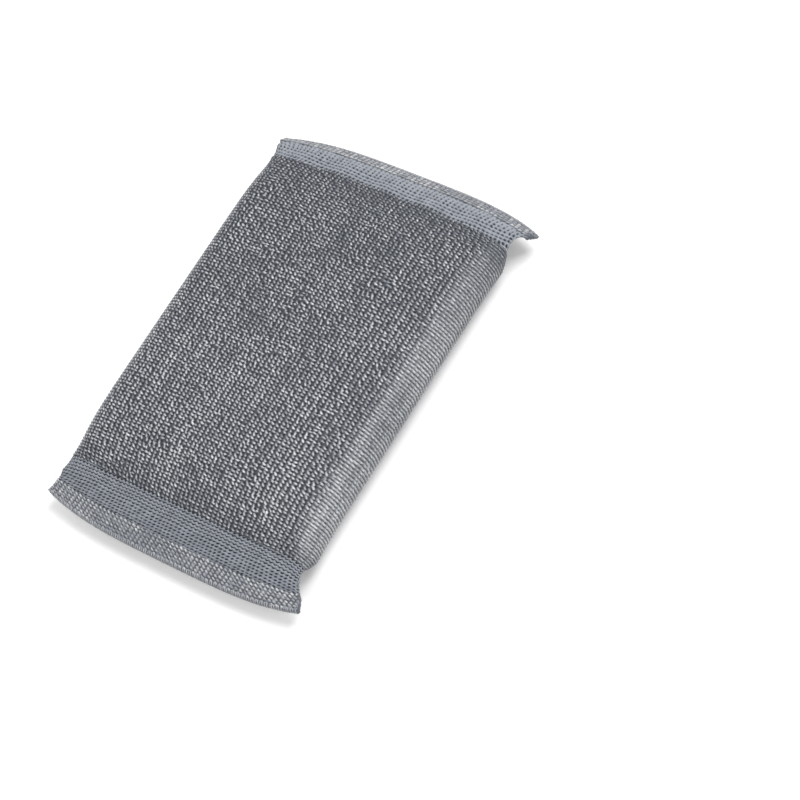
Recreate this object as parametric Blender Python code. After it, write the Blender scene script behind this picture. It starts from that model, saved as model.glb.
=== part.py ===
"""Metal-knit scouring pad: a foam block in a knitted tube sleeve, closed by an overlocked seam at each end.

The pad lies flat. X runs across it, Y along it and Z up from its underside, which touches z = 0.
A place along the pad is given by its end, front or rear, and its depth, which is the distance inward
from the cut edge of that end, measured on the centre line.
"""

from typing import NamedTuple

import bmesh
import bpy
import numpy as np

# Overall sizes of the pad, in metres
OVERALL_LENGTH = 0.130
SEAM_WIDTH = 0.087
BODY_WIDTH = 0.081
THICKNESS = 0.0215

# Each end is pressed flat from its cut edge to its needle line, and droops: the rear one droops more
EDGE_HEIGHT = 0.0056
FRONT_SEAM_DEPTH = 0.0048
FRONT_NEEDLE_HEIGHT = 0.0081
REAR_SEAM_DEPTH = 0.0040
REAR_NEEDLE_HEIGHT = 0.0102

# How the filled body falls to the needle line, and how round it is
TOP_TAPER = 0.035
UNDER_TAPER = 0.018
TAPER_POWER = 3.0
TAPER_FULLNESS = 0.9
CROWN = 0.0015

# The plain yarn band at each end lies a little lower than the metal knit beside it
PLAIN_BAND = 0.0078
BAND_STEP = 0.00025
BAND_STEP_RUN = 0.0006
BAND_STEP_GROWTH = 4.0

# Corners: the middle of each end bows out, and the ears stand out and up past the body
FRONT_BOW = 0.0035
REAR_BOW = 0.0045
BOW_REACH = 0.030
EAR_REACH = 0.0115
EAR_LIFT = 0.0013
CORNER_POWER = 3.0

# Soft gathers where the sleeve is pulled into the seam
GATHER_PITCH = 0.0145
GATHER_HEIGHT = 0.0004
GATHER_REACH = 0.009

# Walls, threads and the room left between pieces
SLEEVE_WALL = 0.0012
PRESSED_WALL = 0.00065
CLEARANCE = 0.0003
THREAD = 0.00045
THREAD_RIDGE = 0.00022
STITCH_PITCH = 0.0026
STITCH_SLANT = 0.25
FOAM_SETBACK = 0.0035

# How finely the shapes are divided
FACE_STEPS = 30
ROLL_STEPS = 8
FOAM_FACE_STEPS = 10
FOAM_ROLL_STEPS = 6

# Size that the cut sleeve and its pressed ends take from the values above
HALF_LENGTH = OVERALL_LENGTH / 2 - CLEARANCE - THREAD - THREAD_RIDGE
PRESSED_HALF = PRESSED_WALL + CLEARANCE / 2

SLEEVE_GREY = (0.186, 0.194, 0.205, 1.0)
THREAD_GREY = (0.270, 0.280, 0.295, 1.0)
FOAM_GREY = (0.420, 0.420, 0.400, 1.0)


class End(NamedTuple):
    """One end of the pad: its side along Y, how far its middle bows out, and its pressed seam."""

    side: int
    bow: float
    seam_depth: float
    needle_height: float

    @property
    def droop(self):
        """Slope of the pressed end, down from its needle line to its cut edge."""
        return (self.needle_height - EDGE_HEIGHT) / self.seam_depth

    @property
    def band_depth(self):
        """Depth at which the plain band ends and the metal knit begins."""
        return self.seam_depth + PLAIN_BAND

    @property
    def taper_depth(self):
        """Depth at which the top has risen to its full height."""
        return self.seam_depth + TOP_TAPER


FRONT = End(-1, FRONT_BOW, FRONT_SEAM_DEPTH, FRONT_NEEDLE_HEIGHT)
REAR = End(1, REAR_BOW, REAR_SEAM_DEPTH, REAR_NEEDLE_HEIGHT)


def clear_scene():
    """Removes every object that the file opened with."""
    for obj in list(bpy.data.objects):
        bpy.data.objects.remove(obj, do_unlink=True)


def material(name, colour, roughness, metallic):
    """A Principled material of one colour."""
    made = bpy.data.materials.new(name)
    made.use_nodes = True
    shader = made.node_tree.nodes["Principled BSDF"]
    shader.inputs["Base Color"].default_value = colour
    shader.inputs["Roughness"].default_value = roughness
    shader.inputs["Metallic"].default_value = metallic
    made.diffuse_color = colour
    return made


def fade(depth, reach):
    """1 at the cut edge, falling smoothly to 0 at this reach."""
    return (1.0 - min(max(depth / reach, 0.0), 1.0)) ** 2


def rise(end, depth, taper):
    """Share of the body's full height at this depth: 0 at the needle line, 1 past the taper."""
    run = min(max((depth - end.seam_depth) / taper, 0.0), 1.0)
    return (1.0 - (1.0 - run) ** TAPER_POWER) ** TAPER_FULLNESS


def half_width(depth):
    """Half the width of the sleeve: the body's own, and more at the ears."""
    return BODY_WIDTH / 2 + (SEAM_WIDTH - BODY_WIDTH) / 2 * fade(depth, EAR_REACH)


def pressed_height(end, depth):
    """Height of the middle of the pressed end, which droops from the needle line to the cut edge."""
    return EDGE_HEIGHT + end.droop * min(depth, end.seam_depth)


def band_drop(end, depth):
    """How far the plain yarn lies below the metal knit at this depth."""
    past = min(max((depth - end.band_depth) / BAND_STEP_RUN, 0.0), 1.0)
    return BAND_STEP * (1.0 - past) * min(rise(end, depth, UNDER_TAPER) * BAND_STEP_GROWTH, 1.0)


def outer_heights(end, depth):
    """Top and underside of the sleeve on the centre line."""
    middle = pressed_height(end, depth)
    top = middle + PRESSED_HALF
    under = middle - PRESSED_HALF
    top += (THICKNESS - top) * rise(end, depth, TOP_TAPER) - band_drop(end, depth)
    under *= 1.0 - rise(end, depth, UNDER_TAPER)
    return top, under


def wall(end, depth):
    """Wall of the knit: pressed thin in the seam, full in the body."""
    return PRESSED_WALL + (SLEEVE_WALL - PRESSED_WALL) * rise(end, depth, UNDER_TAPER)


class Section:
    """Cross-section of the pad at one depth, set in from the sleeve's outside by some distance."""

    def __init__(self, end, depth, inset):
        self.end = end
        self.depth = depth
        self.outside = inset == 0.0
        self.top, self.under = outer_heights(end, depth)
        self.top -= inset
        self.under += inset
        side_inset = 0.0 if self.outside else inset + SLEEVE_WALL - wall(end, depth)
        self.half = half_width(depth) - side_inset
        self.crown = CROWN * (self.top - self.under) / THICKNESS
        self.roll = (self.top - self.crown - self.under) / 2
        self.face_half = self.half - self.roll

    def gather(self, x):
        """Height of the soft gathers at this place across the top of the sleeve's outside."""
        share = min(max((self.depth - self.end.seam_depth) / GATHER_REACH, 0.0), 1.0)
        swell = 4.0 * share * (1.0 - share) if self.outside else 0.0
        return GATHER_HEIGHT * swell * np.cos(2 * np.pi * x / GATHER_PITCH)

    def face(self, share, layer):
        """Point (x, z) on the top (layer 1) or underside (layer -1), at -1 to 1 across the face."""
        x = share * self.face_half
        if layer < 0:
            return x, self.under
        return x, self.top - self.crown * (x / self.half) ** 2 + self.gather(x)

    def outline(self, face_steps, roll_steps):
        """The closed section as points (x, z), anticlockwise when seen from the front."""
        shares = np.linspace(-1, 1, face_steps + 1)
        angles = np.linspace(-np.pi / 2, np.pi / 2, roll_steps + 1)[1:-1]
        side_top = self.face(1.0, 1)[1]
        centre = (side_top + self.under) / 2
        reach = (side_top - self.under) / 2
        right = [(self.face_half + self.roll * np.cos(a), centre + reach * np.sin(a)) for a in angles]
        points = [self.face(s, -1) for s in shares]
        points += right
        points += [self.face(s, 1) for s in shares[::-1]]
        points += [(-x, z) for x, z in right[::-1]]
        return points


def placed(x, z, end, depth):
    """World point of a section's point, with the end bowed out and its ears lifted."""
    corner = abs(2 * x / SEAM_WIDTH) ** CORNER_POWER
    y = end.side * (HALF_LENGTH - depth - end.bow * corner * fade(depth, BOW_REACH))
    return x, y, z + EAR_LIFT * corner * fade(depth, end.band_depth)


def spaced(start, stop, count, power=1.0):
    """Depths from start to stop, set closer together near start when power is over 1."""
    return [start + (stop - start) * (k / count) ** power for k in range(count + 1)]


def skin(bm, depths_of, inset_of, face_steps, roll_steps):
    """Rings of a closed tube from the front edge to the rear edge, bridged one to the next."""
    rows = [(FRONT, d) for d in depths_of(FRONT)]
    rows += [(REAR, d) for d in reversed(depths_of(REAR)) if d < HALF_LENGTH]
    rings = [ring(bm, end, d, inset_of(end, d), face_steps, roll_steps) for end, d in rows]
    for first, second in zip(rings, rings[1:]):
        bridge(bm, first, second)
    return rings


def ring(bm, end, depth, inset, face_steps, roll_steps):
    """Vertices of one closed section."""
    outline = Section(end, depth, inset).outline(face_steps, roll_steps)
    return [bm.verts.new(placed(x, z, end, depth)) for x, z in outline]


def bridge(bm, first, second):
    """Quads between two rings of as many vertices."""
    count = len(first)
    for k in range(count):
        after = (k + 1) % count
        bm.faces.new((first[k], first[after], second[after], second[k]))


def strip_cap(bm, loop, face_steps, roll_steps):
    """Closes a section's ring with strips that join its underside to its top."""
    count = len(loop)
    left_middle = roll_steps // 2
    low = loop[-left_middle:] + loop[:face_steps + 1 + left_middle]
    high = [loop[(count - left_middle - k) % count] for k in range(len(low))]
    for k in range(len(low) - 1):
        corners = []
        for vertex in (low[k], low[k + 1], high[k + 1], high[k]):
            if vertex not in corners:
                corners.append(vertex)
        bm.faces.new(corners)


def finished(name, bm, look, sharp_degrees):
    """Turns the mesh being built into an object with outward faces, smooth shading and its material."""
    bmesh.ops.recalc_face_normals(bm, faces=bm.faces)
    mesh = bpy.data.meshes.new(name)
    bm.to_mesh(mesh)
    bm.free()
    mesh.shade_smooth()
    mesh.set_sharp_from_angle(angle=np.radians(sharp_degrees))
    obj = bpy.data.objects.new(name, mesh)
    obj.data.materials.append(look)
    bpy.context.scene.collection.objects.link(obj)
    return obj


def pressed_depths(end):
    """Depths of the rows along the pressed end."""
    return spaced(0.0, end.seam_depth, 2)


def shoulder_depths(end):
    """Depths of the rows where the metal knit rises from the plain band to the body."""
    return spaced(end.band_depth + BAND_STEP_RUN, end.taper_depth, 3)


def foam_depths(end):
    """Depths of the foam's rows, which the sleeve's inner skin shares so that the two never meet."""
    squeezed = spaced(end.seam_depth + FOAM_SETBACK, end.band_depth, 2)
    return squeezed + shoulder_depths(end) + [HALF_LENGTH]


def inner_depths(end):
    """Depths of the rows of the sleeve's inner skin."""
    return pressed_depths(end) + foam_depths(end)


def outer_depths(end):
    """Depths of the rows of the sleeve's outer skin."""
    band = spaced(end.seam_depth, end.band_depth, 5, power=1.3)[1:]
    middle = spaced(end.taper_depth, HALF_LENGTH, 2)[1:]
    return pressed_depths(end) + band + shoulder_depths(end) + middle


def knitted_sleeve():
    """The tube of knit, pressed flat at both ends, with its two cut ends left open as slits."""
    bm = bmesh.new()
    outer = skin(bm, outer_depths, lambda end, depth: 0.0, FACE_STEPS, ROLL_STEPS)
    inner = skin(bm, inner_depths, wall, FACE_STEPS, ROLL_STEPS)
    bridge(bm, outer[0], inner[0])
    bridge(bm, outer[-1], inner[-1])
    return finished("knitted_sleeve", bm, material("metal_knit", SLEEVE_GREY, 0.62, 0.25), 60)


def foam_core():
    """The block of foam that fills the sleeve, rounded at its sides and squeezed at its ends."""
    bm = bmesh.new()
    rings = skin(bm, foam_depths, lambda end, d: wall(end, d) + CLEARANCE, FOAM_FACE_STEPS, FOAM_ROLL_STEPS)
    for loop in (rings[0], rings[-1]):
        strip_cap(bm, loop, FOAM_FACE_STEPS, FOAM_ROLL_STEPS)
    return finished("foam_core", bm, material("soft_foam", FOAM_GREY, 0.9, 0.0), 50)


def seam_ring(bm, end, across, ridge):
    """One section of the thread wrap: over the pressed end, round its cut edge and back below."""
    near = CLEARANCE
    far = CLEARANCE + THREAD + (THREAD_RIDGE if ridge else 0.0)
    reach = end.seam_depth - CLEARANCE
    steepness = np.hypot(1.0, end.droop)
    depths = (reach, reach / 2, -near)
    path = [(1, depth, far, STITCH_SLANT) for depth in depths]
    path += [(1, -far, near / 2, 0.0), (-1, -far, near / 2, 0.0)]
    path += [(-1, depth, far, -STITCH_SLANT) for depth in depths[::-1]]
    path += [(-1, depth, near, 0.0) for depth in depths]
    path += [(1, depth, near, 0.0) for depth in depths[::-1]]
    loop = []
    for layer, depth, lift, slant in path:
        x, z = Section(end, depth, 0.0).face(across, layer)
        x += slant * depth * (1.0 - across ** 2)
        loop.append(bm.verts.new(placed(x, z + layer * lift * steepness, end, depth)))
    return loop


def overlock_seam(name, end, look):
    """The band of looped thread that closes one end, with a ridge for each stitch."""
    stitches = max(round(SEAM_WIDTH / STITCH_PITCH), 2)
    stations = np.linspace(-1, 1, 2 * stitches + 1)
    bm = bmesh.new()
    rings = [seam_ring(bm, end, across, k % 2 == 1) for k, across in enumerate(stations)]
    for first, second in zip(rings, rings[1:]):
        bridge(bm, first, second)
    for loop in (rings[0], rings[-1]):
        close_channel(bm, loop)
    return finished(name, bm, look, 75)


def close_channel(bm, loop):
    """Closes an end of the channel-shaped wrap with quads that span its wall."""
    outer = loop[:8]
    inner = loop[8:][::-1]
    walls = [inner[0], inner[1], inner[2], inner[2], inner[3], inner[3], inner[4], inner[5]]
    for k in range(len(outer) - 1):
        corners = []
        for vertex in (outer[k], outer[k + 1], walls[k + 1], walls[k]):
            if vertex not in corners:
                corners.append(vertex)
        bm.faces.new(corners)


def main():
    """Builds the pad's four pieces."""
    clear_scene()
    foam_core()
    knitted_sleeve()
    seam_thread = material("seam_thread", THREAD_GREY, 0.7, 0.05)
    overlock_seam("overlock_seam_front", FRONT, seam_thread)
    overlock_seam("overlock_seam_rear", REAR, seam_thread)


main()
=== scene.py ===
"""Visual model of a scouring pad: a foam block in a sleeve of metal knit, overlocked flat at both ends.

The sleeve's surface is one fine grid that runs round the pad and along it. Each stitch is raised on that
grid, so that the knit is real relief. The overlocking threads are tubes that wrap the pressed ends.
"""

import logging
from collections.abc import Iterator
from dataclasses import dataclass
from enum import Enum
from typing import Optional, Union

import bpy
import numpy as np
from mathutils import Matrix, Vector


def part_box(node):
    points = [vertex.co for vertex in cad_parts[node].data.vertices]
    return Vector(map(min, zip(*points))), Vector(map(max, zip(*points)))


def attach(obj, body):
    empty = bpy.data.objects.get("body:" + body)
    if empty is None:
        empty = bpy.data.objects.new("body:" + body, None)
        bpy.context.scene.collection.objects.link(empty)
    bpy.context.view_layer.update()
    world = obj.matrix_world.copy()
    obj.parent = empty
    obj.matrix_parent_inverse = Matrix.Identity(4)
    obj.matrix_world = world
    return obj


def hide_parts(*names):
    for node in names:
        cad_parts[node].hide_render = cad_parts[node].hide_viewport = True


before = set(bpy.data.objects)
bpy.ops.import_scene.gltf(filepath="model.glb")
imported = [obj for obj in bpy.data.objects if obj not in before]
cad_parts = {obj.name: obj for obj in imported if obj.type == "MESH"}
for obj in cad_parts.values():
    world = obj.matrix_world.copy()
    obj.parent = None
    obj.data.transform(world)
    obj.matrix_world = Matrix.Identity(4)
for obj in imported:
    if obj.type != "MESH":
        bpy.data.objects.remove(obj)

LOG = logging.getLogger("scouring_pad")
Colour = tuple[float, float, float, float]
Points = np.ndarray


def grey(level: float, warmth: float = 0.0) -> Colour:
    """A grey of this level, warmer above 0 and bluer below it."""
    return (level * (1 + 0.6 * warmth), level, level * (1 - 1.3 * warmth), 1.0)


def smooth(share: Points) -> Points:
    """The share from 0 to 1 with a soft start and end."""
    held = np.clip(share, 0.0, 1.0)
    return held * held * (3.0 - 2.0 * held)


def soft_noise(across: Points, along: Points, rng: np.random.Generator, period: int = 0) -> Points:
    """Smooth noise from -1 to 1 over a surface.

    Args:
        across: Places across the surface, in cells of the noise.
        along: Places along the surface, in cells of the noise.
        rng: The seeded source of the noise.
        period: Cells after which the noise repeats across, or 0 if it never does.

    Returns:
        The noise at each place.
    """
    column = np.floor(across).astype(int)
    row = np.floor(along).astype(int)
    right = smooth(across - column)
    up = smooth(along - row)
    column = column - column.min()
    row = row - row.min()
    width = period if period else int(column.max()) + 2
    knots = rng.uniform(-1.0, 1.0, (int(row.max()) + 2, width))
    near = column % width
    far = (column + 1) % width
    lower = knots[row, near] * (1 - right) + knots[row, far] * right
    upper = knots[row + 1, near] * (1 - right) + knots[row + 1, far] * right
    return lower * (1 - up) + upper * up


class Signal:
    """A number inside a tree of nodes, which takes part in ordinary arithmetic."""

    def __init__(self, sheet: "NodeSheet", socket: bpy.types.NodeSocket) -> None:
        """Keep the node socket that carries the number, and the sheet it is drawn on."""
        self.sheet = sheet
        self.socket = socket

    def __add__(self, other: "Number") -> "Signal":
        """This number plus the other."""
        return self.sheet.maths("ADD", self, other)

    def __radd__(self, other: "Number") -> "Signal":
        """The other number plus this one."""
        return self.sheet.maths("ADD", other, self)

    def __sub__(self, other: "Number") -> "Signal":
        """This number less the other."""
        return self.sheet.maths("SUBTRACT", self, other)

    def __rsub__(self, other: "Number") -> "Signal":
        """The other number less this one."""
        return self.sheet.maths("SUBTRACT", other, self)

    def __mul__(self, other: "Number") -> "Signal":
        """This number times the other."""
        return self.sheet.maths("MULTIPLY", self, other)

    def __rmul__(self, other: "Number") -> "Signal":
        """The other number times this one."""
        return self.sheet.maths("MULTIPLY", other, self)

    def between(self, low: float, high: float) -> "Signal":
        """Where this number stands from low to high, eased, from 0 to 1."""
        settings = {"interpolation_type": "SMOOTHSTEP"}
        sockets = {"Value": self, "From Min": low, "From Max": high}
        return self.sheet.value("ShaderNodeMapRange", settings, sockets, "Result")


Number = Union[Signal, float, int]
Socketed = Union[Signal, bpy.types.NodeSocket, float, int, tuple]
Settings = dict[str, object]
Sockets = dict[Union[str, int], Socketed]


class NodeSheet:
    """A tree of nodes, which starts empty."""

    def __init__(self, tree: bpy.types.NodeTree) -> None:
        """Clear the tree."""
        self.tree = tree
        self.tree.nodes.clear()

    def node(self, kind: str, settings: Settings, sockets: Sockets) -> bpy.types.Node:
        """Add one node.

        Args:
            kind: The node's type.
            settings: The node's own settings, which are set first.
            sockets: A value or a link for each named or numbered input.

        Returns:
            The new node.
        """
        made = self.tree.nodes.new(kind)
        for name, setting in settings.items():
            setattr(made, name, setting)
        for name, given in sockets.items():
            self.plug(made.inputs[name], given)
        return made

    def plug(self, target: bpy.types.NodeSocket, given: Socketed) -> None:
        """Link a socket to what is given, or set its value."""
        if isinstance(given, Signal):
            self.tree.links.new(given.socket, target)
        elif isinstance(given, bpy.types.NodeSocket):
            self.tree.links.new(given, target)
        else:
            target.default_value = given

    def value(self, kind: str, settings: Settings, sockets: Sockets, out: str) -> Signal:
        """Add one node and take a number from the output of that name."""
        return Signal(self, self.node(kind, settings, sockets).outputs[out])

    def maths(self, operation: str, first: Number, second: Number) -> Signal:
        """Add one Math node on two numbers."""
        return self.value("ShaderNodeMath", {"operation": operation}, {0: first, 1: second}, "Value")

    def attribute(self, name: str) -> Signal:
        """A number that the mesh carries at each of its points."""
        return self.value("ShaderNodeAttribute", {"attribute_name": name}, {}, "Fac")

    def place(self, layer: str, stretch: tuple[float, float, float]) -> bpy.types.NodeSocket:
        """A place on the surface from a UV layer, stretched by these factors."""
        layer_node = self.node("ShaderNodeUVMap", {"uv_map": layer}, {})
        sockets = {0: layer_node.outputs["UV"], 1: stretch}
        return self.node("ShaderNodeVectorMath", {"operation": "MULTIPLY"}, sockets).outputs["Vector"]

    def grain(self, place: bpy.types.NodeSocket, scale: float, detail: float) -> Signal:
        """Fine noise around 0.5 at a place on the surface."""
        sockets = {"Vector": place, "Scale": scale, "Detail": detail, "Roughness": 0.6}
        return self.value("ShaderNodeTexNoise", {}, sockets, "Fac")

    def seen(self) -> Signal:
        """1 for a ray that reaches the camera, straight or through a gloss or a glass, and 0 for the rest."""
        path = self.node("ShaderNodeLightPath", {}, {})
        straight, glossy, through = (
            Signal(self, path.outputs[name]) for name in ("Is Camera Ray", "Is Glossy Ray", "Is Transmission Ray")
        )
        return self.maths("MAXIMUM", self.maths("MAXIMUM", straight, glossy), through)

    def blend(self, share: Number, first: Socketed, second: Socketed) -> bpy.types.NodeSocket:
        """A colour between two, at this share of the second."""
        made = self.node("ShaderNodeMix", {"data_type": "RGBA"}, {"Factor": share})
        self.plug(made.inputs[6], first)
        self.plug(made.inputs[7], second)
        return made.outputs[2]


class FinishSheet(NodeSheet):
    """One material and the nodes that make it."""

    def __init__(self, name: str) -> None:
        """Start a material with one Principled shader joined to its output."""
        self.material = bpy.data.materials.new(name)
        self.material.use_nodes = True
        super().__init__(self.material.node_tree)
        self.shader = self.node("ShaderNodeBsdfPrincipled", {}, {})
        self.node("ShaderNodeOutputMaterial", {}, {"Surface": self.shader.outputs["BSDF"]})

    def bump(self, height: Signal, depth: float, strength: float) -> None:
        """Roughen the shader's surface by a height that is worth this many metres."""
        sockets = {"Height": height, "Distance": depth, "Strength": strength}
        self.plug(self.shader.inputs["Normal"], self.node("ShaderNodeBump", {}, sockets).outputs["Normal"])

    def finish(self, **sockets: Socketed) -> bpy.types.Material:
        """Set the shader's inputs, whose names are given with underscores for spaces."""
        for name, given in sockets.items():
            self.plug(self.shader.inputs[name.replace("_", " ")], given)
        return self.material


@dataclass(frozen=True)
class MetalKnit:
    """Dark yarn knitted together with a thin silver strip, which glints on some of the stitches."""

    # The gap colour is painted shade between the stitches; the pale end of the yarn carries painted highlights as
    # well as paler yarn.
    gap_shade: Colour = grey(0.018, -0.24)
    yarn: Colour = grey(0.145, -0.11)
    pale_and_highlit_yarn: Colour = grey(0.780, -0.02)
    silver: Colour = grey(0.800, 0.01)

    def material(self) -> bpy.types.Material:
        """The finish, which reads the yarn, glint and tone that the mesh carries, and paints shade and highlights
        from them.
        """
        sheet = FinishSheet("metal_knit")
        yarn = sheet.attribute("yarn")
        glint = sheet.attribute("glint")
        tone = sheet.attribute("tone")
        fibre = sheet.grain(sheet.place("Stitch", (2.0, 9.0, 1.0)), 3.0, 3.0)
        strip = glint.between(0.84, 0.98) * yarn.between(0.55, 0.85)
        # The glint mark lightens the colour: a random brightness for each stitch, with painted highlights on the
        # stitches' upper ends and on the folds.
        paleness = glint * 0.9 + tone * 0.5 + fibre * 0.4 - 0.50
        body = sheet.blend(paleness.between(0.0, 1.0), self.yarn, self.pale_and_highlit_yarn)
        # Painted shade: where the yarn mark is low, in the gaps, holes and ladders, the colour goes to the dark
        # gap colour.
        shaded = sheet.blend(yarn.between(0.04, 0.60), self.gap_shade, body)
        sheet.bump(fibre, 0.00010, 0.5)
        return sheet.finish(
            Base_Color=sheet.blend(strip, shaded, self.silver),
            Metallic=strip * 0.8,
            Roughness=0.60 - 0.28 * strip,
            Specular_IOR_Level=0.25,
        )


@dataclass(frozen=True)
class PlainYarn:
    """Matt blue-grey yarn without metal, knitted open enough to show small holes, which are painted dark as
    shade.
    """

    gap_shade: Colour = grey(0.040, -0.20)
    yarn: Colour = grey(0.195, -0.115)
    pale_and_highlit_yarn: Colour = grey(0.345, -0.090)

    def material(self) -> bpy.types.Material:
        """The finish, which reads the yarn, glint and tone that the mesh carries."""
        sheet = FinishSheet("plain_yarn")
        yarn = sheet.attribute("yarn")
        glint = sheet.attribute("glint")
        tone = sheet.attribute("tone")
        fibre = sheet.grain(sheet.place("Stitch", (7.0, 3.0, 1.0)), 3.0, 3.0)
        # The glint mark lightens the colour: a random brightness for each stitch, painted highlights on the
        # crests of the band's folds, and a lighter rear band.
        paleness = glint * 0.9 + tone * 0.3 + fibre * 0.4 - 0.35
        body = sheet.blend(paleness.between(0.0, 1.0), self.yarn, self.pale_and_highlit_yarn)
        # Painted shade: the gap colour fills the holes, the creases and the low places between the knots.
        colour = sheet.blend(yarn.between(0.05, 0.80), self.gap_shade, body)
        sheet.bump(fibre, 0.00006, 0.4)
        return sheet.finish(Base_Color=colour, Roughness=0.75, Specular_IOR_Level=0.3, Sheen_Weight=0.1)


@dataclass(frozen=True)
class SeamThread:
    """Twisted polyester thread, paler and smoother than the knit."""

    shadow: Colour = grey(0.185, -0.10)
    thread: Colour = grey(0.290, -0.06)
    highlight: Colour = grey(0.620, 0.00)

    def material(self) -> bpy.types.Material:
        """The finish, with the twist of the thread as fine slanted ribs."""
        sheet = FinishSheet("seam_thread")
        yarn = sheet.attribute("yarn")
        glint = sheet.attribute("glint")
        twist = sheet.grain(sheet.place("Stitch", (4.0, 1.5, 1.0)), 3.0, 2.0)
        lit = sheet.blend((glint + twist * 0.4 - 0.20).between(0.05, 1.0), self.thread, self.highlight)
        colour = sheet.blend(yarn.between(0.05, 0.75), self.shadow, lit)
        sheet.bump(twist, 0.00006, 0.5)
        return sheet.finish(Base_Color=colour, Roughness=0.50, Specular_IOR_Level=0.4, Sheen_Weight=0.1)


@dataclass(frozen=True)
class SoftFoam:
    """Open-cell foam, pale grey, with painted shade in its small pores."""

    pore_shade: Colour = grey(0.160, 0.02)
    foam: Colour = grey(0.440, 0.02)

    def material(self) -> bpy.types.Material:
        """The finish, whose pores are cells of about a millimetre."""
        sheet = FinishSheet("soft_foam")
        place = sheet.node("ShaderNodeTexCoord", {}, {}).outputs["Object"]
        cells = sheet.value("ShaderNodeTexVoronoi", {}, {"Vector": place, "Scale": 1100.0}, "Distance")
        grain = sheet.grain(place, 500.0, 3.0)
        # Painted shade: the pore colour fills the middle of each cell.
        wall = (cells + grain * 0.3).between(0.15, 0.65)
        sheet.bump(wall, 0.0003, 0.7)
        return sheet.finish(Base_Color=sheet.blend(wall, self.pore_shade, self.foam), Roughness=0.9)


@dataclass(frozen=True)
class PadEnd:
    """One end of the pad: its side along Y, how far its middle bows out, and its pressed seam."""

    side: int
    bow: float
    seam_depth: float
    needle_height: float
    lean: float
    slit_long: float
    slit_short: float
    slit_slant: float
    chevron: float


@dataclass(frozen=True)
class Section:
    """The pad's cross-sections at a list of depths, in columns of one number for each depth."""

    top: Points
    under: Points
    half: Points
    crown: Points
    roll: Points
    face_half: Points


class Layer(Enum):
    """The two faces of the pad."""

    TOP = 1
    UNDER = -1


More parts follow.
